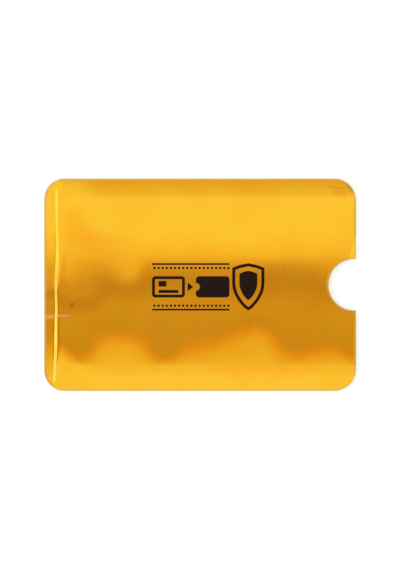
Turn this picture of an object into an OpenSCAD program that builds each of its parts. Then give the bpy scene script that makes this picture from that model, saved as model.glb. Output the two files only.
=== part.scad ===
// Foil card sleeve: one laminated blank, folded into a flat tube, glued along
// a lap seam on its rear, heat sealed across one end and die cut to its outline.
// Millimetres. The sleeve lies on its rear face: +Z is up through the front
// face, +X points out of the mouth and +Y is towards the upper fold.

/* [Card] */
// Length of the card that the sleeve holds
card_l = 85.6; // [70:0.1:100]
// Width of the card
card_w = 53.98; // [45:0.01:62]
// Thickness of the card
card_t = 0.76; // [0.5:0.01:1.2]

/* [Play round the card] */
// Length left over between the foot of the end step and the mouth
end_play = 1.4; // [0.4:0.1:4]
// Distance from the card's edge to each fold
side_play = 4.01; // [2.5:0.01:8]
// How far the flat of the front panel reaches past the card's edge
flat_play = 0.3; // [0.1:0.1:1]
// Free height over the card where it crosses the lap seam
card_play = 0.14; // [0.08:0.01:0.4]
// Free height left between the walls at each fold
fold_gap = 0.3; // [0.1:0.01:0.6]

/* [Outline] */
// Corner radius at the closed end
closed_corner_r = 6; // [4:0.1:9]
// Corner radius at the mouth
mouth_corner_r = 6.4; // [4:0.1:9]

/* [Thumb notch] */
// Radius of the round end of the notch
notch_r = 7.5; // [5:0.1:8.5]
// Depth of the notch from the mouth edge
notch_depth = 8; // [7.6:0.1:14]

/* [End seal] */
// Width of the band pressed flat across the closed end
seal_w = 2.6; // [1.5:0.1:5]
// Width of the step that rises from the band to the pocket
step_w = 1.4; // [0.8:0.1:3]
// Thickness of the melted layer where the band crosses the lap seam
weld_t = 0.03; // [0.02:0.01:0.1]

/* [Rear lap seam] */
// Distance of the inner flap's free edge below the centre line
lap_edge = 8.8; // [4:0.1:12]
// Overlap of the outer flap on the inner flap
lap_w = 8.8; // [6:0.1:14]
// Gap between the outer flap's edge and the joggle of the inner flap
lap_gap = 0.3; // [0.1:0.1:1]
// Width of the joggle that lifts the inner flap over the outer one
joggle_w = 1.2; // [0.8:0.1:3]
// Thickness of the glue line
glue_t = 0.04; // [0.02:0.01:0.1]
// Distance that the glue keeps from every edge
glue_inset = 1; // [0.5:0.1:2]

/* [Laminate] */
// Gold printed film on the outside
film_t = 0.05; // [0.03:0.01:0.1]
// Aluminium foil that shields the card
foil_t = 0.02; // [0.02:0.01:0.06]
// Paper core that stiffens the wall
paper_t = 0.08; // [0.05:0.01:0.2]
// Heat sealing liner that faces the card
liner_t = 0.03; // [0.02:0.01:0.06]

/* [Hidden] */

// How deep each ply starts below the outer face of the wall
foil_d = film_t;
paper_d = foil_d + foil_t;
liner_d = paper_d + paper_t;
wall_t = liner_d + liner_t;

// Heights of the front face over the rear one
lap_lift = wall_t + glue_t;
pressed_h = 2 * wall_t + lap_lift + weld_t;
fold_h = 2 * wall_t + fold_gap;
pocket_h = 2 * wall_t + lap_lift + card_t + card_play;

// Size of the finished sleeve
sleeve_l = seal_w + step_w + card_l + end_play;
sleeve_w = card_w + 2 * side_play;

// Places along the sleeve
closed_x = -sleeve_l / 2;
mouth_x = sleeve_l / 2;
step_x = closed_x + seal_w;
pocket_x = step_x + step_w;

// Places across the sleeve
half_w = sleeve_w / 2;
flat_y = card_w / 2 + flat_play;
inner_edge_y = -lap_edge;
outer_edge_y = inner_edge_y + lap_w;
joggle_y = outer_edge_y + lap_gap;

// Facets of each half-round fold, of each eased curve and of the closed end's step
fold_steps = 8;
curve_steps = 4;
step_steps = 8;
outline_fn = 96;

// How far the uncut blank and the die's open sides run past the finished outline
die_over = 1;
// How far outside the folds the die's corner arcs run out
die_play = 0.05;

function mix(a, b, t) = a + (b - a) * t;
function ease(t) = let (u = max(0, min(1, t))) u * u * (3 - 2 * u);
function span(a, b, n) = [for (i = [0 : n]) mix(a, b, i / n)];
function slice(list, from, to) = [for (i = [from : to]) list[i]];

// How far the walls have opened at x: 0 in the pressed band, 1 in the pocket
function opening(x) = ease((x - step_x) / step_w);
function fold_r(x) = mix(pressed_h, fold_h, opening(x)) / 2;

// Rise of the inner flap over the outer flap at y
function joggle_z(y) = lap_lift * (1 - ease((y - joggle_y) / joggle_w));

// Front face over the pocket: flat over the card, sloping down to the folds
function pocket_z(y) =
    mix(fold_h, pocket_h, ease((half_w - fold_h / 2 - abs(y)) / (half_w - fold_h / 2 - flat_y)));

function front_z(x, y) = mix(pressed_h, pocket_z(y), opening(x));

// Outer face of the wall at x, as [y, z] points: from the inner flap's free edge over
// the joggle, round the upper fold, across the front, round the lower fold and along
// the outer flap to its free edge
function wall_path(x) =
    let (r = fold_r(x), fold_y = half_w - r)
    concat(
        [[inner_edge_y, lap_lift]],
        [for (y = span(joggle_y, joggle_y + joggle_w, curve_steps)) [y, joggle_z(y)]],
        [for (a = span(-90, 90, fold_steps)) [fold_y + r * cos(a), r + r * sin(a)]],
        [for (y = slice(span(fold_y, flat_y, curve_steps), 1, curve_steps)) [y, front_z(x, y)]],
        [for (y = slice(span(-flat_y, -fold_y, curve_steps), 0, curve_steps - 1)) [y, front_z(x, y)]],
        [for (a = span(90, 270, fold_steps)) [-fold_y + r * cos(a), r + r * sin(a)]],
        [[outer_edge_y, 0]]
    );

// Where each panel of the blank begins on that path
at_upper_fold = curve_steps + 2;
at_upper_slope = at_upper_fold + fold_steps;
at_front = at_upper_slope + curve_steps;
at_lower_slope = at_front + 1;
at_lower_fold = at_lower_slope + curve_steps;
at_outer_flap = at_lower_fold + fold_steps;
path_end = at_outer_flap + 1;

// Left-hand normal of the step from p to q
function left(p, q) = let (d = q - p) [-d.y, d.x] / norm(d);

// The path moved inwards by d, with mitred corners
function inset(path, d) =
    [for (i = [0 : len(path) - 1])
        let (n1 = left(path[max(i - 1, 0)], path[max(i, 1)]),
             n2 = left(path[min(i, len(path) - 2)], path[min(i + 1, len(path) - 1)]))
        path[i] + d * (n1 + n2) / (1 + n1 * n2)];

// Stations along the blank: its two ends, and close together where the wall steps up
stations = concat([closed_x - die_over], span(step_x, pocket_x, step_steps),
                  [mouth_x + die_over]);
at_pocket = step_steps + 1;
blank_end = at_pocket + 1;

// One ply of the wall between depths d0 and d1, lofted along the stations s0 to s1
// and reaching along the path from p0 to p1
module ply(d0, d1, p0 = 0, p1 = path_end, s0 = 0, s1 = blank_end) {
    rings = [for (x = slice(stations, s0, s1))
        let (outer = slice(inset(wall_path(x), d0), p0, p1),
             inner = slice(inset(wall_path(x), d1), p0, p1))
        concat([for (p = outer) [x, p.x, p.y]],
               [for (i = [p1 - p0 : -1 : 0]) [x, inner[i].x, inner[i].y]])];
    n = 2 * (p1 - p0 + 1);
    last = (s1 - s0) * n;
    sides = [for (k = [0 : n : last - n], i = [0 : n - 1])
        let (a = k + i, b = k + (i + 1) % n)
        each [[a, b + n, b], [a, a + n, b + n]]];
    ends = [for (i = [0 : p1 - p0 - 1])
        let (a = i, b = i + 1, c = n - 2 - i, d = n - 1 - i)
        each [[a, b, c], [a, c, d],
              [last + a, last + c, last + b], [last + a, last + d, last + c]]];
    polyhedron([for (ring = rings) each ring], concat(sides, ends));
}

module notch_2d(margin = 0) {
    r = notch_r + margin;
    x = mouth_x - notch_depth + notch_r;
    translate([x, 0]) circle(r, $fn = outline_fn);
    translate([x, -r]) square([mouth_x - x + die_over, 2 * r]);
}

// Outline of the finished sleeve, open past the folds, where nothing is cut
module outline_2d() {
    closed_corner_x = closed_x + closed_corner_r;
    mouth_corner_x = mouth_x - mouth_corner_r;
    closed_corner_y = half_w + die_play - closed_corner_r;
    mouth_corner_y = half_w + die_play - mouth_corner_r;
    difference() {
        union() {
            translate([closed_corner_x, -half_w - die_over])
                square([mouth_corner_x - closed_corner_x, sleeve_w + 2 * die_over]);
            translate([closed_x, -closed_corner_y])
                square([sleeve_l / 2, 2 * closed_corner_y]);
            translate([0, -mouth_corner_y])
                square([sleeve_l / 2, 2 * mouth_corner_y]);
            for (side = [-1, 1]) {
                translate([closed_corner_x, side * closed_corner_y])
                    circle(closed_corner_r, $fn = outline_fn);
                translate([mouth_corner_x, side * mouth_corner_y])
                    circle(mouth_corner_r, $fn = outline_fn);
            }
        }
        notch_2d();
    }
}

// The cutting die keeps what lies inside the outline of the finished sleeve
module die_cut() {
    intersection() {
        children();
        translate([0, 0, -die_over])
            linear_extrude(pocket_h + 2 * die_over)
                outline_2d();
    }
}

// Gold printed film, the continuous outer ply, panel by panel
module film(p0, p1, s0 = 0, s1 = blank_end) {
    color("goldenrod") die_cut() ply(0, foil_d, p0, p1, s0, s1);
}

// Panel over the card
module film_front() {
    film(at_front, at_lower_slope, s0 = at_pocket);
}

// Band pressed onto the rear across the closed end, and the step up to the pocket
module film_end() {
    film(at_upper_slope, at_lower_fold, s1 = at_pocket);
}

// Slopes from the panel over the card down to the folds
module film_upper_slope() {
    film(at_upper_slope, at_front, s0 = at_pocket);
}

module film_lower_slope() {
    film(at_lower_slope, at_lower_fold, s0 = at_pocket);
}

module film_upper_fold() {
    film(at_upper_fold, at_upper_slope);
}

module film_lower_fold() {
    film(at_lower_fold, at_outer_flap);
}

// Upper half of the rear, which passes under the lower half at the lap seam
module film_inner_flap() {
    film(0, at_upper_fold);
}

// Lower half of the rear, with its free edge in view
module film_outer_flap() {
    film(at_outer_flap, path_end);
}

module foil_shield() {
    color("silver") die_cut() ply(foil_d, paper_d);
}

module paper_core() {
    color("ivory") die_cut() ply(paper_d, liner_d);
}

module seal_liner() {
    color("gainsboro") die_cut() ply(liner_d, wall_t);
}

// Glue between the outer flap and the inner flap, kept back from every edge
module lap_glue() {
    color("wheat")
        translate([0, 0, wall_t])
            linear_extrude(glue_t)
                difference() {
                    translate([closed_x + glue_inset, inner_edge_y + glue_inset])
                        square([sleeve_l - 2 * glue_inset, lap_w - 2 * glue_inset]);
                    notch_2d(glue_inset);
                }
}

// Liner and sealant melted together across the closed end, thickest beside the lap seam
module end_weld() {
    inner = inset(wall_path(closed_x), wall_t);
    color("silver")
        die_cut()
            translate([closed_x - die_over, 0, 0])
                rotate([90, 0, 90])
                    linear_extrude(die_over + seal_w)
                        polygon(concat(slice(inner, 0, at_outer_flap), [[inner_edge_y, wall_t]]));
}

film_front();
film_end();
film_upper_slope();
film_lower_slope();
film_upper_fold();
film_lower_fold();
film_inner_flap();
film_outer_flap();
foil_shield();
paper_core();
seal_liner();
lap_glue();
end_weld();
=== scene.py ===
import math

import bmesh
import bpy
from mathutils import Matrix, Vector


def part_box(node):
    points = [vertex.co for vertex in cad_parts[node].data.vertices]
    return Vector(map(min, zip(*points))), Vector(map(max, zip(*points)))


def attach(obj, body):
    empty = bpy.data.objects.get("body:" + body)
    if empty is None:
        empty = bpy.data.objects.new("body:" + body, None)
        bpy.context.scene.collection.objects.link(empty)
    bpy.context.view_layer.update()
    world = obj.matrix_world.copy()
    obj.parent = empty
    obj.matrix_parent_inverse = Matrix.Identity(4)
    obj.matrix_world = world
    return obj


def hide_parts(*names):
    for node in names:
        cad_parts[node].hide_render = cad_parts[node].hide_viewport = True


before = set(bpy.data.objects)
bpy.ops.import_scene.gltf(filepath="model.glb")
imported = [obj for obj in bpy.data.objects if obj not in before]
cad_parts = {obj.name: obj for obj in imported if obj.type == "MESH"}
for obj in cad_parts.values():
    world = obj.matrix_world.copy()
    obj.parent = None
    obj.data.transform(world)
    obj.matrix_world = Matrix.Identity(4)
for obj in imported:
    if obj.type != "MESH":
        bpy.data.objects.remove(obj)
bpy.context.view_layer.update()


# Gold printed film: the outer ply, metallised film printed gold, one sheet folded round
# both long edges, lapped along the rear, pressed level across the closed end and die cut.
# The front never lies quite flat: slow waves run through it.

mm = 0.001

closed_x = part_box("film_end")[0].x
pocket_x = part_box("film_end")[1].x
mouth_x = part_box("film_front")[1].x
step_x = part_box("end_weld")[1].x
half_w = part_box("film_upper_fold")[1].y
flat_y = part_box("film_front")[1].y
inner_edge_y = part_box("film_inner_flap")[0].y
outer_edge_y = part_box("film_outer_flap")[1].y
pocket_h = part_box("film_front")[1].z
fold_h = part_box("film_upper_fold")[1].z
lap_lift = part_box("lap_glue")[1].z
film_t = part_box("foil_shield")[0].z
wall_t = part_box("lap_glue")[0].z
weld_t = 0.03 * mm
joggle_y, joggle_w = outer_edge_y + 0.3 * mm, 1.2 * mm
pressed_h = 2 * wall_t + lap_lift + weld_t
corner_r, mouth_corner_r = 6.0 * mm, 6.4 * mm
notch_r, notch_depth = 7.5 * mm, 8.0 * mm

# The blank runs past the sleeve by blank_over at each end, and its first mesh line inside
# the closed end is end_margin in. The die clears the folds by die_play, and relief_room is
# left for the waves below the solids' top.
blank_over, end_margin = 1 * mm, 0.5 * mm
die_play = 0.05 * mm
relief_room = 0.11 * mm

# The waves of the front: in each row, along a line at this Y and with this reach, the
# panel leans by so many thousandths of a radian at each X. Y, reach and X are in mm.
# The rows come from a least squares fit to the reflections in the photograph, rounded and
# thinned. The first was then weakened, and the others were changed in places.
waves = (
    (13.8, 2.8, ((-42, -2), (-38, 1), (-35, 2.5), (-31, 4.2), (-25, 4.4), (-22, 3), (-19, 1), (-16, 0),
                 (45, 0))),
    (2.4, 3.1, ((-42, -3.5), (-38, -4.3), (-35, -3), (-28, -2), (-25, -3.6), (-22, -5.3), (-19, -5.2),
                (-16, -1.5), (-12, 0), (4, -0.5), (12, 0), (20, 1), (32, 0), (37, -1.5), (45, -3))),
    (-4.4, 3.4, ((-42, -6), (-38, -8.2), (-35, -9), (-31, -7.5), (-28, -2), (-25, -0.4), (-19, -1),
                 (-12, 2), (-8, 2.6), (-4, 2.3), (4, 0.3), (14, -0.8), (27, 0), (37, -1.5), (45, -0.8))),
    (-13, 3.5, ((-42, -4.8), (-38, -4), (-35, 0), (-31, 2), (-22, 2), (-18, 1.4), (-12, 3), (-8, 2.3),
                (-4, 1), (0, 0.4), (6, 1.5), (12, 4.3), (17, 5.5), (20, 4), (23, 0.7), (27, -1.7),
                (37, -1.4), (45, -3.5))),
    (-19.2, 3.5, ((-42, 4.7), (-38, -2.5), (-35, -6.2), (-31, -2), (-28, 1.6), (-22, 3.3), (-19, 2),
                  (-16, -1), (-12, -7), (-8, -6), (-4, -1.7), (6, 0.6), (17, 2.2), (20, 1.4), (23, -0.9),
                  (27, -4), (37, -1.3), (41, -2.4), (45, -7))),
)

# One more lean, at this Y and with this reach, brings the panel level again at the upper fold
settle_y, settle_reach = 22.0, 5.0

# The front bends down to the upper and the lower fold from this far inside its flat part's
# edge. A share of the bend starts further in by the end step: X and that width, in mm.
shoulders = 2.2 * mm, 3.8 * mm
upper_pull = ((-46, 5.5), (-41, 4.6), (-38, 3.4), (-34, 2.4), (-28, 2.2), (46, 2.2))
lower_pull = ((-46, 11), (-41, 8.8), (-38, 6.2), (-34.5, 4.2), (-30, 3.2), (-25, 3), (-15, 3.2), (46, 3.6))
pull_share = 0.25

# Near the closed end the seal holds the front down, and it swells to its full height from there.
swell_w, held_down = 13 * mm, 0.2

# The lap seam telegraphs through: a low hump on the pressed band, and a ridge at its edge
seam_hump, seam_reach = 0.048 * mm, 4 * mm
ridge_h, ridge_reach, ridge_below = 0.006 * mm, 0.36 * mm, 0.25 * mm
ridge_end_x, ridge_fade = -36.5 * mm, 4 * mm

# The end step wanders along its length, Y and the shift in X in mm, and it is wider or
# narrower than usual, Y in mm and the factor. Both fade out by step_end_x.
step_wander = ((-32, -0.52), (-27, -0.36), (-23.6, -0.2), (-17.7, 0.07), (-12, 0.1), (-6, 0.22), (-1.6, 0.1),
               (2.7, 0.28), (8, 0.46), (11.5, 0.48), (16, 0.41), (25, 0.27), (32, 0.2))
step_spread = ((-32, 0.65), (-27, 0.82), (-21, 1.05), (-14, 1.22), (-9, 1.05), (-5, 0.8), (4, 0.8),
               (9, 1.05), (16, 1.25), (24, 1.25), (32, 1.05))
step_end_x = pocket_x + 4 * mm

# A share of the step's rise takes this much longer, which softens its top
soft_top, soft_share = 1.2 * mm, 0.15


def mix(a, b, t):
    return a + (b - a) * t


def ease(t):
    t = max(0.0, min(1.0, t))
    return t * t * (3 - 2 * t)


def round_off(t):
    """0 at the fold and 1 from t = 1 on, bending more and more towards the fold."""
    return 1 - max(0.0, 1 - t) ** 2


def span(a, b, n):
    return [mix(a, b, i / n) for i in range(n + 1)]


def through(points, at):
    """A smooth curve through the points, read at one place."""
    k = max(i for i, p in enumerate(points[:-1]) if i == 0 or p[0] <= at)
    (a, va), (b, vb) = points[k], points[k + 1]
    before, after = points[max(k - 1, 0)], points[min(k + 2, len(points) - 1)]
    t = max(0.0, min(1.0, (at - a) / (b - a)))
    ma = (vb - before[1]) / (b - before[0]) * (b - a)
    mb = (after[1] - va) / (after[0] - a) * (b - a)
    return va + t * (ma + t * (3 * (vb - va) - 2 * ma - mb + t * (ma + mb - 2 * (vb - va))))


def climb(y, centre, reach):
    """How far a lean of 1 has risen by y, in mm."""
    return reach * math.sqrt(math.pi / 2) * (1 + math.erf((y - centre) / reach / math.sqrt(2)))


def leans(x):
    """Each wave's lean at x, and the one that brings the panel level again."""
    rows = [(centre, reach, through(row, x / mm) / 1000) for centre, reach, row in waves]
    whole = sum(lean * climb(half_w / mm, centre, reach) for centre, reach, lean in rows)
    return [*rows, (settle_y, settle_reach, -whole / climb(half_w / mm, settle_y, settle_reach))]


def opening(x):
    """0 at the foot of the end step and 1 past its top, with a softer end at the top."""
    up, step_w = x - step_x, pocket_x - step_x
    return mix(ease(up / step_w), ease(up / (step_w + soft_top)), soft_share)


def pressed_z(y):
    """The pressed band's height: it stands a little proud over the lap seam."""
    from_seam = (y - (inner_edge_y + outer_edge_y) / 2) / seam_reach
    return pressed_h + seam_hump * math.exp(-from_seam * from_seam / 2)


def joggle_z(y):
    return lap_lift * (1 - ease((y - joggle_y) / joggle_w))


def seam_ridge(x, y):
    """The inner flap's free edge, telegraphing through the front near the closed end."""
    off_ridge = (y - inner_edge_y + ridge_below) / ridge_reach
    return ridge_h * math.exp(-off_ridge * off_ridge / 2) * ease((ridge_end_x - x) / ridge_fade)


def front_z(x, y, rows):
    """The front's height: pressed at the closed end, and as high as the pocket past the step."""
    fold_y = half_w - fold_h / 2
    edge_w, from_fold = fold_y - flat_y, fold_y - abs(y)
    near_w, far_w = (shoulders[0], upper_pull) if y > 0 else (shoulders[1], lower_pull)
    wave = sum(lean * climb(y / mm, centre, reach) for centre, reach, lean in rows) * mm
    swell = 1 - held_down * (1 - ease((x - step_x) / swell_w))
    top_h = mix(fold_h, pocket_h - relief_room, swell)
    shoulder = mix(round_off(from_fold / (edge_w + near_w)),
                   round_off(from_fold / (edge_w + through(far_w, x / mm) * mm)), pull_share)
    pocket_z = mix(fold_h, top_h, shoulder) + wave * shoulder
    return mix(pressed_z(y), pocket_z, opening(x)) + seam_ridge(x, y)


# The front's mesh, closest where the seam's ridge runs: from Y, to Y, and in so many steps
front_stretches = ((flat_y, 2 * mm, 40), (2 * mm, -7.6 * mm, 16), (-7.6 * mm, -10.6 * mm, 24),
                   (-10.6 * mm, -flat_y, 28))


def wall_path(x):
    """The wall's outer face at x as (y, z): the inner flap from its free edge over the
    joggle, the upper fold, the front, the lower fold, and the outer flap to its edge."""
    rows = leans(x)
    r = mix(pressed_h, fold_h, opening(x)) / 2
    fold_y = half_w - r
    stretches = ((fold_y, flat_y, 8), *front_stretches, (-flat_y, -fold_y, 8))
    front_ys = [y for start, end, steps in stretches for y in span(start, end, steps)[1:]][:-1]
    bend = span(-math.pi / 2, math.pi / 2, 12)
    return (
        [(inner_edge_y, lap_lift)]
        + [(y, joggle_z(y)) for y in span(joggle_y, joggle_y + joggle_w, 6)]
        + [(y, 0.0) for y in span(joggle_y + joggle_w, fold_y, 6)[1:-1]]
        + [(fold_y + r * math.cos(a), r + r * math.sin(a)) for a in bend]
        + [(y, front_z(x, y, rows)) for y in front_ys]
        + [(-fold_y - r * math.cos(a), r - r * math.sin(a)) for a in bend]
        + [(y, 0.0) for y in span(-fold_y, outer_edge_y, 6)[1:]]
    )


def inset(path, depth):
    """The path moved inwards by depth, with mitred corners."""
    steps = [Vector(b) - Vector(a) for a, b in zip(path, path[1:])]
    lefts = [Vector((-s.y, s.x)).normalized() for s in steps]
    pairs = zip([lefts[0], *lefts], [*lefts, lefts[-1]])
    return [Vector(p) + depth * (a + b) / (1 + a.dot(b)) for p, (a, b) in zip(path, pairs)]


stations = [closed_x - blank_over, *span(closed_x + end_margin, step_x, 4),
            *span(step_x, pocket_x, 18)[1:], *span(pocket_x, step_end_x, 8)[1:],
            *span(step_end_x, mouth_x + blank_over, 104)[1:]]
paths = [wall_path(x) for x in stations]


def wander(x, y):
    """How far the end step's points shift in X at y, fading out to the end and the pocket."""
    wider = (through(step_spread, y / mm) - 1) * (x - (step_x + pocket_x) / 2)
    fade = ease((x - closed_x) / (step_x - closed_x)) * ease((step_end_x - x) / (step_end_x - pocket_x))
    return (through(step_wander, y / mm) * mm + wider) * fade


def put(obj_name, bm):
    """A mesh object from this bmesh, which is freed."""
    mesh = bpy.data.meshes.new(obj_name)
    bm.to_mesh(mesh)
    bm.free()
    obj = bpy.data.objects.new(obj_name, mesh)
    bpy.context.scene.collection.objects.link(obj)
    return obj


def folded_ply(name, outer_depth, inner_depth):
    """A flat blank folded along the wall path and given its thickness."""
    outer = [inset(p, outer_depth) for p in paths]
    inner = [inset(p, inner_depth) for p in paths]
    columns, rows = len(stations) - 1, len(paths[0]) - 1
    bm = bmesh.new()
    bmesh.ops.create_grid(bm, x_segments=columns, y_segments=rows, size=1)
    bmesh.ops.reverse_faces(bm, faces=bm.faces)
    outer_rim = [e for e in bm.edges if e.is_boundary]
    twins = bmesh.ops.duplicate(bm, geom=bm.verts[:] + bm.edges[:] + bm.faces[:])
    bmesh.ops.reverse_faces(bm, faces=[g for g in twins["geom"] if isinstance(g, bmesh.types.BMFace)])
    inner_rim = [g for g in twins["geom"] if isinstance(g, bmesh.types.BMEdge) and g.is_boundary]
    for v in [e for e in bm.verts if e.index < (columns + 1) * (rows + 1)]:
        i, j = round((v.co.x + 1) / 2 * columns), round((v.co.y + 1) / 2 * rows)
        x = stations[i] + wander(stations[i], outer[i][j].x)
        v.co = x, outer[i][j].x, outer[i][j].y
        twins["vert_map"][v].co = x, inner[i][j].x, inner[i][j].y
    bmesh.ops.bridge_loops(bm, edges=outer_rim + inner_rim)
    bmesh.ops.recalc_face_normals(bm, faces=bm.faces)
    return put(name, bm)


def arc(centre, r, start, end, n):
    return [centre + r * Vector((math.cos(a), math.sin(a), 0)) for a in span(start, end, n)]


def die_inside():
    """The inside of the cutting die: rounded corners and the thumb notch."""
    bm = bmesh.new()
    corners = ((closed_x, corner_r, -1, -1), (mouth_x, mouth_corner_r, 1, -1),
               (mouth_x, mouth_corner_r, 1, 1), (closed_x, corner_r, -1, 1))
    ring = []
    for end_x, r, sx, sy in corners:
        centre = Vector((end_x - sx * r, sy * (half_w + die_play - r), 0))
        start = math.atan2(sy, sx) - math.pi / 4
        ring += arc(centre, r, start, start + math.pi / 2, 24)
        if (sx, sy) == (1, -1):
            centre = Vector((mouth_x - notch_depth + notch_r, 0, 0))
            ring += [Vector((mouth_x, -notch_r, 0)),
                     *arc(centre, notch_r, -math.pi / 2, -3 * math.pi / 2, 48),
                     Vector((mouth_x, notch_r, 0))]
    face = bm.faces.new([bm.verts.new(p) for p in ring])
    bmesh.ops.translate(bm, verts=bm.verts, vec=(0, 0, -blank_over))
    top = bmesh.ops.extrude_face_region(bm, geom=[face])["geom"]
    bmesh.ops.translate(bm, verts=[g for g in top if isinstance(g, bmesh.types.BMVert)],
                        vec=(0, 0, pocket_h + 2 * blank_over))
    bmesh.ops.recalc_face_normals(bm, faces=bm.faces)
    return put("die", bm)


die = die_inside()
sharp_from = math.radians(32)
merge_dist = 1e-7


def shade_round(bm):
    """Smooth shading, except where two faces meet at a corner."""
    for f in bm.faces:
        f.smooth = True
    for e in bm.edges:
        e.smooth = e.is_manifold and e.calc_face_angle(0) < sharp_from


def die_cut(piece):
    """Cut the piece to the outline and shade it smooth except at its cut edges."""
    cut = piece.modifiers.new("die", "BOOLEAN")
    cut.operation, cut.object, cut.solver = "INTERSECT", die, "EXACT"
    graph = bpy.context.evaluated_depsgraph_get()
    mesh = bpy.data.meshes.new_from_object(piece.evaluated_get(graph))
    piece.modifiers.clear()
    piece.data = mesh
    bm = bmesh.new()
    bm.from_mesh(mesh)
    bmesh.ops.remove_doubles(bm, verts=bm.verts, dist=merge_dist)
    shade_round(bm)
    bm.to_mesh(mesh)
    bm.free()


def finish(name):
    """A new material, its node tree and its shader."""
    mat = bpy.data.materials.new(name)
    mat.use_nodes = True
    return mat, mat.node_tree, mat.node_tree.nodes["Principled BSDF"]


printed_film = folded_ply("printed_film", 0.0, film_t)
die_cut(printed_film)

mat, nt, bsdf = finish("gold printed film")
gold, redder_gold = (0.982, 0.552, 0.030, 1), (0.985, 0.518, 0.026, 1)
# The next two pale golds are painted highlights: by the notch and on the end step
notch_highlight_gold, step_highlight_gold = (1.0, 0.72, 0.08, 1), (1.0, 0.67, 0.10, 1)
# The second gold on the next line is painted shade along the cut edge
seam_line_gold, rim_shade_gold = (0.86, 0.43, 0.30, 1), (0.74, 0.52, 0.09, 1)
grazing_tint = (1.0, 0.84, 0.5, 1)


def wire(node_type, *inputs, output=0, **settings):
    """A node with these inputs, sockets or plain values, and one of its outputs."""
    node = nt.nodes.new(node_type)
    for key, value in settings.items():
        setattr(node, key, value)
    for slot, value in enumerate(inputs):
        if isinstance(value, bpy.types.NodeSocket):
            nt.links.new(value, node.inputs[slot])
        elif value is not None:
            node.inputs[slot].default_value = value
    return node.outputs[output]


def blend(fac, a, b):
    """A mix of two colours."""
    node = nt.nodes.new("ShaderNodeMix")
    node.data_type = "RGBA"
    for slot, value in ((0, fac), (6, a), (7, b)):
        if isinstance(value, bpy.types.NodeSocket):
            nt.links.new(value, node.inputs[slot])
        else:
            node.inputs[slot].default_value = value
    return node.outputs[2]


def times(a, b):
    return wire("ShaderNodeMath", a, b, operation="MULTIPLY")


def falls(value, near, far):
    """1 up to near, and 0 past far."""
    return wire("ShaderNodeMapRange", value, near, far, 1.0, 0.0, interpolation_type="SMOOTHSTEP")


def group_of(title, sockets):
    """A node group with these inputs, and one value or colour that comes out of it."""
    group = bpy.data.node_groups.new(title, "ShaderNodeTree")
    for label, kind, way in sockets:
        group.interface.new_socket(label, in_out=way, socket_type="NodeSocket" + kind)
    return group, group.nodes.new("NodeGroupInput"), group.nodes.new("NodeGroupOutput")


# Grain: noise on the piece's own coordinates, of so many cells to the metre along each axis
grain_group, given, result = group_of("grain", (
    ("Shift", "Vector", "INPUT"), ("Cells", "Vector", "INPUT"), ("Detail", "Float", "INPUT"),
    ("Roughness", "Float", "INPUT"), ("Low", "Float", "INPUT"), ("High", "Float", "INPUT"),
    ("Value", "Float", "OUTPUT")))
material_tree, nt = nt, grain_group
moved = wire("ShaderNodeMapping", wire("ShaderNodeTexCoord", output=3), given.outputs[0], None,
             given.outputs[1])
noise = wire("ShaderNodeTexNoise", moved, None, 1.0, given.outputs[2], given.outputs[3])
spread = wire("ShaderNodeMapRange", noise, 0.3, 0.7, given.outputs[4], given.outputs[5])
nt.links.new(spread, result.inputs[0])
nt = material_tree


def grain(cells, low=0.0, high=1.0, detail=2.0, rough=0.5, shift=(0, 0, 0)):
    """The grain group in this material, from low to high."""
    return wire("ShaderNodeGroup", shift, cells, detail, rough, low, high, node_tree=grain_group)


place = wire("ShaderNodeTexCoord", output=3)
sides = wire("ShaderNodeSeparateXYZ", place).node.outputs

# The cut edge: how far in from the outline and from the notch, where a darker line of painted shade runs
inboard = wire("ShaderNodeVectorMath", place, operation="ABSOLUTE")
corner_centre = (mouth_x - corner_r, half_w - corner_r, 1)
inboard = wire("ShaderNodeVectorMath", inboard, corner_centre, operation="SUBTRACT")
inboard = wire("ShaderNodeVectorMath", inboard, (0, 0, 0), operation="MAXIMUM")
from_outline = wire("ShaderNodeVectorMath", inboard, output=1, operation="LENGTH")
from_outline = wire("ShaderNodeMath", corner_r, from_outline, operation="SUBTRACT")
notch_centre = (mouth_x - notch_depth + notch_r, 0, 0)
from_notch = wire("ShaderNodeVectorMath", place, (1, 1, 0), operation="MULTIPLY")
from_notch = wire("ShaderNodeVectorMath", from_notch, notch_centre, output=1, operation="DISTANCE")
from_notch = wire("ShaderNodeMath", from_notch, notch_r, operation="SUBTRACT")
rim_w, rim_end = 0.38 * mm, 0.8 * mm
rim = falls(wire("ShaderNodeMath", from_outline, from_notch, operation="MINIMUM"), rim_w, rim_end)
rim = times(rim, grain((700, 700, 700), 0.55, 1.0))

# Painted highlight: pale gold on the end step's steep face, where it catches the light.
# Where the seam telegraphs through, the print turns pinkish and duller in two lines.
facing = wire("ShaderNodeTexCoord", output=1)
on_front = wire("ShaderNodeMapRange", wire("ShaderNodeSeparateXYZ", facing, output=2), 0.1, 0.4)
steep = wire("ShaderNodeSeparateXYZ", wire("ShaderNodeVectorMath", facing, operation="ABSOLUTE"))
painted_step_highlight = wire("ShaderNodeMapRange", steep, 0.3, 0.5, interpolation_type="SMOOTHSTEP")
seam_line_mask = times(on_front, falls(sides[0], ridge_end_x - 2.5 * mm, ridge_end_x - 0.5 * mm))
seam_line_offsets = ((0.2 * mm, 1.0), (1.2 * mm, 0.25))
seam_line_w, seam_line_end = 0.2 * mm, 0.6 * mm
seam_lines = []
for below, share in seam_line_offsets:
    off_line = wire("ShaderNodeMath", sides[1], inner_edge_y - below, operation="SUBTRACT")
    off_line = wire("ShaderNodeMath", off_line, operation="ABSOLUTE")
    seam_lines.append(times(falls(off_line, seam_line_w, seam_line_end), share))
seam_line_mask = times(seam_line_mask, wire("ShaderNodeMath", *seam_lines, operation="ADD"))
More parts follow.
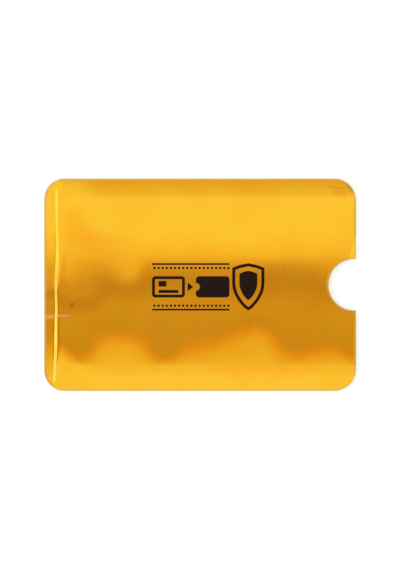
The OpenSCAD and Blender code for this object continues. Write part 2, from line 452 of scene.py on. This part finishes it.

# A wedge of painted highlight by the notch: pale gold on the front where the lifted mouth edge catches the
# light
wedge_slope, wedge_start, wedge_full = -0.3, mouth_x - 4.7 * mm, mouth_x - 4.0 * mm
wedge_low, wedge_high = 5 * mm, 7 * mm
wedge = wire("ShaderNodeMath", sides[1], wedge_slope, sides[0], operation="MULTIPLY_ADD")
wedge = wire("ShaderNodeMapRange", wedge, wedge_start, wedge_full, interpolation_type="SMOOTHSTEP")
above_notch = wire("ShaderNodeMapRange", sides[1], wedge_low, wedge_high)
painted_notch_highlight = times(times(wedge, on_front), above_notch)

# Spots on the front: handling scuffs and specks, and two orange patches of painted reflection.
# X, Y, turn in degrees and half sizes in mm, colour and strength
marks_and_painted_reflections = (
    (-37.4, -6.0, 55, 1.5, 0.9, (0.50, 0.20, 0.003, 1), 0.5),
    # These two orange patches are painted reflection, not handling scuffs
    (-30.6, 13.6, 0, 8, 2.4, (1.0, 0.48, 0.028, 1), 0.55),
    (-32.7, 6.3, -5, 9, 1.6, (1.0, 0.47, 0.024, 1), 0.6),
    (41.0, 26.6, -15, 3.2, 1.7, (0.95, 0.40, 0.03, 1), 0.7),
    (39.6, 28.4, -8, 4.2, 0.5, (0.60, 0.30, 0.04, 1), 0.4),
    (44.0, 28.4, -50, 3.4, 1.3, (0.42, 0.32, 0.07, 1), 0.7),
)

# Uneven print, the fine lines of the rolls along Y, and a close grain
cloud = grain((75, 110, 75), -0.6, 1.1, shift=(0.31, 0.12, 0))
shade = times(grain((2600, 55, 55), 0.984, 1.012, 3.0, 0.6), grain((5200, 5200, 5200), 0.99, 1.01, 1.0))
film_colour_and_painted_light = wire("ShaderNodeVectorMath", blend(cloud, gold, redder_gold), shade, operation="MULTIPLY")
for x, y, turn, half_x, half_y, tone, strength in marks_and_painted_reflections:
    spot = wire("ShaderNodeMapping", place, (x * mm, y * mm, 0), (0, 0, math.radians(turn)),
                (half_x * mm, half_y * mm, 1), vector_type="TEXTURE")
    spot = falls(wire("ShaderNodeVectorMath", spot, output=1, operation="LENGTH"), 0.2, 1.0)
    film_colour_and_painted_light = blend(times(times(spot, strength), on_front), film_colour_and_painted_light, tone)
# Painted highlight: pale gold on the end step's steep face
film_colour_and_painted_light = blend(painted_step_highlight, film_colour_and_painted_light, step_highlight_gold)
seam_share, notch_highlight_share = 0.35, 0.8
# Two pinkish, paler lines where the seam telegraphs through near the closed end
film_colour_and_painted_light = blend(times(seam_line_mask, seam_share), film_colour_and_painted_light, seam_line_gold)
# Painted shade: a thin darker gold along the cut edge and the notch, broken up by grain
film_colour_and_painted_light = blend(rim, film_colour_and_painted_light, rim_shade_gold)
# Painted highlight: pale gold above the notch
film_colour_and_painted_light = blend(times(painted_notch_highlight, notch_highlight_share), film_colour_and_painted_light, notch_highlight_gold)
nt.links.new(film_colour_and_painted_light, bsdf.inputs["Base Color"])
gloss = grain((2600, 55, 55), 0.03, 0.055, 3.0, 0.6)
seam_dulls, rim_dulls, ripple_h = 0.1, 0.15, 0.0008 * mm
gloss = wire("ShaderNodeMath", seam_line_mask, seam_dulls, gloss, operation="MULTIPLY_ADD")
gloss = wire("ShaderNodeMath", rim, rim_dulls, gloss, operation="MULTIPLY_ADD")
nt.links.new(gloss, bsdf.inputs["Roughness"])
ripple = grain((150, 260, 150), 0.0, 1.0, 2.0, 0.4, (0.7, 0.2, 0))
nt.links.new(wire("ShaderNodeBump", 1.0, ripple_h, None, ripple), bsdf.inputs["Normal"])
bsdf.inputs["Metallic"].default_value = 1
bsdf.inputs["Specular Tint"].default_value = grazing_tint
printed_film.data.materials.clear()
printed_film.data.materials.append(mat)
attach(printed_film, "root")
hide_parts("film_front", "film_end", "film_upper_slope", "film_lower_slope",
            "film_upper_fold", "film_lower_fold", "film_inner_flap", "film_outer_flap")


# Aluminium foil ply: the shield, soft foil bonded to the film's inner face. Only its cut
# edge shows, as a bright line between gold and paper.

foil_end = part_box("paper_core")[0].z
foil_ply = folded_ply("foil_ply", film_t, foil_end)
die_cut(foil_ply)
mat, nt, bsdf = finish("aluminium foil")
rolled = grain((60, 2400, 2400), shift=(0.4, 0.1, 0))
tarnish = grain((180, 180, 180), -0.4, 1.0, 3.0)
foil_colour = blend(rolled, (0.82, 0.83, 0.84, 1), (0.91, 0.915, 0.92, 1))
nt.links.new(blend(tarnish, foil_colour, (0.80, 0.79, 0.77, 1)), bsdf.inputs["Base Color"])
nt.links.new(grain((60, 2400, 2400), 0.2, 0.42, shift=(0.4, 0.1, 0)), bsdf.inputs["Roughness"])
nt.links.new(wire("ShaderNodeBump", 1.0, 0.002 * mm, None, rolled), bsdf.inputs["Normal"])
bsdf.inputs["Metallic"].default_value = 1
foil_ply.data.materials.clear()
foil_ply.data.materials.append(mat)
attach(foil_ply, "root")
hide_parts("foil_shield")


# Paper core ply: thin bleached paper that gives the wall its stiffness, laminated under
# the foil.

core_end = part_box("seal_liner")[0].z
paper_ply = folded_ply("paper_ply", foil_end, core_end)
die_cut(paper_ply)
mat, nt, bsdf = finish("bleached paper")
fibres = grain((900, 5200, 9000), 0.0, 1.0, 4.0, 0.65)
pulp = grain((260, 260, 900), 0.0, 1.0, 2.0, 0.5, (0.2, 0.5, 0))
paper_colour = blend(fibres, (0.74, 0.71, 0.64, 1), (0.88, 0.86, 0.81, 1))
nt.links.new(blend(pulp, paper_colour, (0.82, 0.80, 0.74, 1)), bsdf.inputs["Base Color"])
nt.links.new(grain((900, 5200, 9000), 0.82, 0.98, 4.0, 0.65), bsdf.inputs["Roughness"])
nt.links.new(wire("ShaderNodeBump", 1.0, 0.01 * mm, None, fibres), bsdf.inputs["Normal"])
paper_ply.data.materials.clear()
paper_ply.data.materials.append(mat)
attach(paper_ply, "root")
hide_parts("paper_core")


# Heat sealing liner: the inner ply, a clear satin film that faces the card and melts to
# itself under the seal bar across the closed end.

liner_ply = folded_ply("liner_ply", core_end, wall_t)
die_cut(liner_ply)
mat, nt, bsdf = finish("heat seal liner")
streaks = grain((35, 900, 900), 0.0, 1.0, 3.0, 0.6, (0.1, 0.7, 0))
haze = grain((240, 240, 240), 0.0, 1.0)
liner_colour = blend(streaks, (0.76, 0.76, 0.735, 1), (0.83, 0.83, 0.815, 1))
nt.links.new(blend(times(haze, 0.5), liner_colour, (0.79, 0.785, 0.75, 1)), bsdf.inputs["Base Color"])
nt.links.new(grain((240, 240, 240), 0.28, 0.44), bsdf.inputs["Roughness"])
nt.links.new(wire("ShaderNodeBump", 1.0, 0.003 * mm, None, streaks), bsdf.inputs["Normal"])
liner_ply.data.materials.clear()
liner_ply.data.materials.append(mat)
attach(liner_ply, "root")
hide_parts("seal_liner")


# Glue line and end weld: clear glue holds the lap seam together, kept back from its
# edges. Across the closed end the liner and its sealant are melted into one bead.

mat, nt, bsdf = finish("seam glue")
bubbles = grain((1500, 1500, 1500), 0.0, 1.0, 1.0)
nt.links.new(blend(bubbles, (0.72, 0.63, 0.40, 1), (0.84, 0.77, 0.56, 1)), bsdf.inputs["Base Color"])
nt.links.new(grain((500, 500, 500), 0.2, 0.42), bsdf.inputs["Roughness"])
nt.links.new(wire("ShaderNodeBump", 1.0, 0.006 * mm, None, bubbles), bsdf.inputs["Normal"])
frame_glue = bpy.data.objects["lap_glue"]
frame_glue.data.materials.clear()
frame_glue.data.materials.append(mat)

mat, nt, bsdf = finish("melted liner")
flow = grain((700, 220, 700), 0.0, 1.0, 3.0, 0.55)
nt.links.new(blend(flow, (0.70, 0.69, 0.64, 1), (0.82, 0.81, 0.78, 1)), bsdf.inputs["Base Color"])
nt.links.new(grain((400, 400, 400), 0.3, 0.52), bsdf.inputs["Roughness"])
nt.links.new(wire("ShaderNodeBump", 1.0, 0.01 * mm, None, flow), bsdf.inputs["Normal"])
frame_weld = bpy.data.objects["end_weld"]
frame_weld.data.materials.clear()
frame_weld.data.materials.append(mat)


# Printed mark: dark ink on the front, a card beside the sleeve it goes into, between two
# rules, and a shield. The ink lies a few thousandths of a millimetre proud of the film.

ink_t, ink_gap = 0.004 * mm, 0.002 * mm


def shape(bm, points, line=0.0):
    """Adds a flat face through the points, or only a line of this width along its edge."""
    face = bm.faces.new([bm.verts.new((x * mm, y * mm, 0)) for x, y in points])
    face.normal_update()
    if line:
        bmesh.ops.inset_region(bm, faces=[face], thickness=line * mm, use_boundary=True,
                               use_even_offset=True)
        bmesh.ops.delete(bm, geom=[face], context="FACES")


def rounded(x0, y0, x1, y1, r, n=8):
    """Corner points of a rounded rectangle."""
    corners = ((x1 - r, y0 + r, -90), (x1 - r, y1 - r, 0), (x0 + r, y1 - r, 90), (x0 + r, y0 + r, 180))
    return [(cx + r * math.cos(math.radians(a)), cy + r * math.sin(math.radians(a)))
            for cx, cy, start in corners for a in span(start, start + 90, n)]


def notched(x0, y0, x1, y1, r, bite, n=14):
    """A rounded rectangle with a round bite in its left side."""
    points = rounded(x0, y0, x1, y1, r)
    left_side, middle = len(points) * 3 // 4, (y0 + y1) / 2
    curve = [(x0 + bite * math.sin(a), middle + bite * math.cos(a)) for a in span(0, math.pi, n)]
    return points[:left_side] + curve + points[left_side:]


def shield(cx, top, bottom, w):
    """A shield: square shoulders that draw in to a point, from a share of its height on."""
    height, draws_in, fullness = top - bottom, 0.42, 0.75
    side = [(w / 2 * math.cos(t * math.pi / 2) ** fullness, top - height * mix(draws_in, 1, t))
            for t in span(0, 1, 14)]
    right = [(w / 2, top - 0.1 * height), *side]
    points = [(0, top), (0.28 * w, top - 0.04 * height), *right[:-1], (0, bottom)]
    mirror = [(-x, y) for x, y in reversed(points[1:-1])]
    return [(cx + x, y) for x, y in reversed(points + mirror)]


bm = bmesh.new()
mark_x0, mark_x1, mark_top, mark_bottom = -14.0, 8.6, 6.3, -7.5
rule_w, line_w, dot_w, dot_r, dot_pitch, dot_count = 0.5, 0.85, 0.7, 0.3, 1.2, 19
top_dots_y, bottom_dots_y = mark_top - 1.75, mark_bottom + 1.05
picture_top, picture_bottom, picture_r, card_w = 2.5, -3.7, 1.0, 9.6
chip_x0, chip_x1, strip_x1, chip_r = mark_x0 + 1.9, mark_x0 + 4.2, mark_x0 + 7.7, 0.3
sleeve_x0, bite_r = -1.2, 1.15
shield_x, shield_w, shield_line, badge_w = 14.1, 9.4, 0.9, 5.2
badge_top, badge_bottom = mark_top - 2.2, mark_bottom + 3.0
for y in (mark_top, mark_bottom + rule_w):
    shape(bm, [(mark_x0, y - rule_w), (mark_x1, y - rule_w), (mark_x1, y), (mark_x0, y)])
for k in range(dot_count):
    x = mark_x0 + dot_w / 2 + k * dot_pitch
    for y in (top_dots_y, bottom_dots_y):
        shape(bm, rounded(x, y, x + dot_w, y + dot_w, dot_r, 4))
shape(bm, rounded(mark_x0, picture_bottom, mark_x0 + card_w, picture_top, picture_r), line_w)
shape(bm, rounded(chip_x0, -0.5, chip_x1, 1.1, chip_r))
shape(bm, rounded(chip_x0, -2.4, strip_x1, -1.5, chip_r))
shape(bm, [(-3.6, -1.9), (-2.0, -0.6), (-3.6, 0.7)])
shape(bm, notched(sleeve_x0, picture_bottom, mark_x1, picture_top, picture_r, bite_r))
shape(bm, shield(shield_x, mark_top, mark_bottom, shield_w), shield_line)
shape(bm, shield(shield_x, badge_top, badge_bottom, badge_w))

# Cut into small cells, so that the ink follows the waves: axis, from, to and cell in mm
cells = (((1, 0, 0), -14.4, 19.2, 0.8), ((0, 1, 0), -7.8, 6.6, 0.4))
for axis, low_end, high_end, cell in cells:
    for at in span(low_end, high_end, round((high_end - low_end) / cell)):
        bmesh.ops.bisect_plane(bm, geom=bm.verts[:] + bm.edges[:] + bm.faces[:],
                               plane_co=Vector(axis) * at * mm, plane_no=axis, dist=merge_dist)
flat_faces = bm.faces[:]
top_side = bmesh.ops.extrude_face_region(bm, geom=flat_faces)["geom"]
bmesh.ops.reverse_faces(bm, faces=flat_faces)
raised = {g for g in top_side if isinstance(g, bmesh.types.BMVert)}
for v in bm.verts:
    v.co.z = front_z(v.co.x, v.co.y, leans(v.co.x)) + ink_gap + (ink_t if v in raised else 0)
shade_round(bm)
printed_mark = put("printed_mark", bm)
mat, nt, bsdf = finish("dark ink")
cover = grain((4200, 4200, 4200), -0.5, 1.0, 2.0, 0.6)
nt.links.new(blend(cover, (0.010, 0.004, 0.002, 1), (0.022, 0.009, 0.004, 1)), bsdf.inputs["Base Color"])
nt.links.new(grain((900, 900, 900), 0.34, 0.48), bsdf.inputs["Roughness"])
nt.links.new(wire("ShaderNodeBump", 1.0, 0.001 * mm, None, cover), bsdf.inputs["Normal"])
bsdf.inputs["Specular IOR Level"].default_value = 0.08
printed_mark.data.materials.append(mat)
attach(printed_mark, "root")


# Floor, light and camera: a white floor under a light tent, seen from straight above. The
# camera looks through the gap between the tent's panels, which is dim and warm.

# The floor lies just below the sleeve, and glows a little only for what sees it directly
floor_reach, floor_gap, floor_glow = 6, 0.02 * mm, 0.22
bm = bmesh.new()
bmesh.ops.create_grid(bm, x_segments=1, y_segments=1, size=floor_reach)
bmesh.ops.translate(bm, verts=bm.verts, vec=(0, 0, -floor_gap))
floor = put("floor", bm)
mat, nt, bsdf = finish("white floor")
bsdf.inputs["Base Color"].default_value = (0.93, 0.94, 0.96, 1)
bsdf.inputs["Roughness"].default_value = 0.9
bsdf.inputs["Specular IOR Level"].default_value = 0
bsdf.inputs["Emission Color"].default_value = (1, 1, 1, 1)
rays = nt.nodes.new("ShaderNodeLightPath").outputs
seen = wire("ShaderNodeMath", rays["Is Camera Ray"], rays["Is Glossy Ray"], operation="MAXIMUM")
seen = wire("ShaderNodeMath", seen, rays["Is Transmission Ray"], operation="MAXIMUM")
nt.links.new(times(seen, floor_glow), bsdf.inputs["Emission Strength"])
floor.data.materials.append(mat)

world = bpy.data.worlds.new("light tent")
bpy.context.scene.world = world
world.use_nodes = True
nt = world.node_tree
sky = nt.nodes["Background"]


def level_ramp(value, stops, reach):
    """Colours along a value from -reach to reach."""
    along = wire("ShaderNodeMapRange", value, -reach, reach)
    node = nt.nodes.new("ShaderNodeValToRGB")
    nt.links.new(along, node.inputs[0])
    elements = node.color_ramp.elements
    while len(elements) < len(stops):
        elements.new(0.5)
    for element, (at, colour) in zip(elements, stops):
        element.position = (at + reach) / (2 * reach)
        element.color = (*colour, 1)
    return node.outputs[0]


# How far a ray leans from upright, along X and along Y, as a slope
split = nt.nodes.new("ShaderNodeSeparateXYZ")
nt.links.new(nt.nodes.new("ShaderNodeTexCoord").outputs["Generated"], split.inputs[0])
up = wire("ShaderNodeMath", split.outputs["Z"], 0.02, operation="MAXIMUM")
lean_x = wire("ShaderNodeMath", split.outputs["X"], up, operation="DIVIDE")
lean_y = wire("ShaderNodeMath", split.outputs["Y"], up, operation="DIVIDE")

# The gap's near part, at the Y in mm that the slope reaches at view_h, and the dimmer panels
# beyond each long side of the sleeve, at the slope itself. These colours are not known from
# the room: they were fitted to the photograph's own, against the colour of the gold.
view_h = 393
near = level_ramp(lean_y, [(v / view_h, c) for v, c in (
    (-28, (1, 1, 1)), (-24, (0.92, 0.83, 0.67)), (-22, (0.87, 0.75, 0.5)), (-20.2, (0.86, 0.7, 0.38)),
    (-19.2, (0.85, 0.57, 0.23)), (-17.5, (0.79, 0.44, 0.17)), (-15.8, (0.6, 0.43, 0.23)),
    (-13, (0.61, 0.45, 0.25)), (-9, (0.65, 0.49, 0.26)), (-4.5, (0.64, 0.475, 0.255)),
    (-1, (0.56, 0.38, 0.23)), (0.7, (0.55, 0.365, 0.22)), (3.6, (0.59, 0.42, 0.24)),
    (6, (0.7, 0.53, 0.3)), (7.2, (0.87, 0.68, 0.43)), (8.2, (0.97, 0.81, 0.58)),
    (9.5, (0.98, 0.87, 0.68)), (12, (0.995, 0.94, 0.86)), (15, (1, 1, 1)))], 0.1)
far_lamp = level_ramp(lean_y, (
    (-1.5, (1, 1, 1)), (-0.32, (1, 1, 1)), (-0.25, (1, 0.97, 0.95)), (-0.18, (0.985, 0.92, 0.87)),
    (-0.115, (0.95, 0.85, 0.78)), (-0.07, (0.945, 0.84, 0.76)), (-0.062, (1, 1, 1)), (0.065, (1, 1, 1)),
    (0.135, (0.97, 0.9, 0.85)), (0.19, (0.91, 0.82, 0.7)), (0.25, (0.87, 0.79, 0.64)),
    (0.36, (0.85, 0.765, 0.58)), (0.52, (0.82, 0.66, 0.44)), (0.7, (0.81, 0.66, 0.44)),
    (1.4, (1, 1, 1))), 2.0)

# The dimmer panels stop short of the closed end. The gap darkens and then ends where the
# steep end step looks, at bright panels, and everything dims towards the horizon.
far_start, far_full = -0.165, -0.075
dark_start, dark_full, darkest = 0.16, 0.36, 1.9
gap_stops, panels_start = 0.75, 1.3
horizon_z, horizon_dim = 0.62, 0.45
bright_panel = (1.25, 1.25, 1.25, 1)
far_end = wire("ShaderNodeMapRange", lean_x, far_start, far_full, interpolation_type="SMOOTHSTEP")
far = blend(far_end, (1, 1, 1, 1), far_lamp)
gap = wire("ShaderNodeVectorMath", near, far, operation="MULTIPLY")
across = wire("ShaderNodeMath", lean_x, operation="ABSOLUTE")
darkening = wire("ShaderNodeMapRange", across, dark_start, dark_full, 1.0, darkest)
gap = wire("ShaderNodeGamma", gap, darkening)
gap_end = wire("ShaderNodeMapRange", across, gap_stops, panels_start, interpolation_type="SMOOTHSTEP")
panels = blend(gap_end, gap, bright_panel)
horizon = wire("ShaderNodeMapRange", split.outputs["Z"], 0.0, horizon_z, horizon_dim, 1.0,
               interpolation_type="SMOOTHSTEP")
nt.links.new(wire("ShaderNodeVectorMath", panels, horizon, operation="MULTIPLY"), sky.inputs["Color"])

camera_h, camera_y = 394.0 * mm, -0.06 * mm
camera = bpy.data.objects.new("camera", bpy.data.cameras.new("camera"))
bpy.context.scene.collection.objects.link(camera)
camera.data.lens = 85
camera.data.sensor_width = 36
camera.location = (0, camera_y, camera_h)
camera.data.clip_start = 0.01
bpy.context.scene.camera = camera
bpy.context.scene.view_settings.view_transform = "Standard"

bpy.data.objects.remove(die)
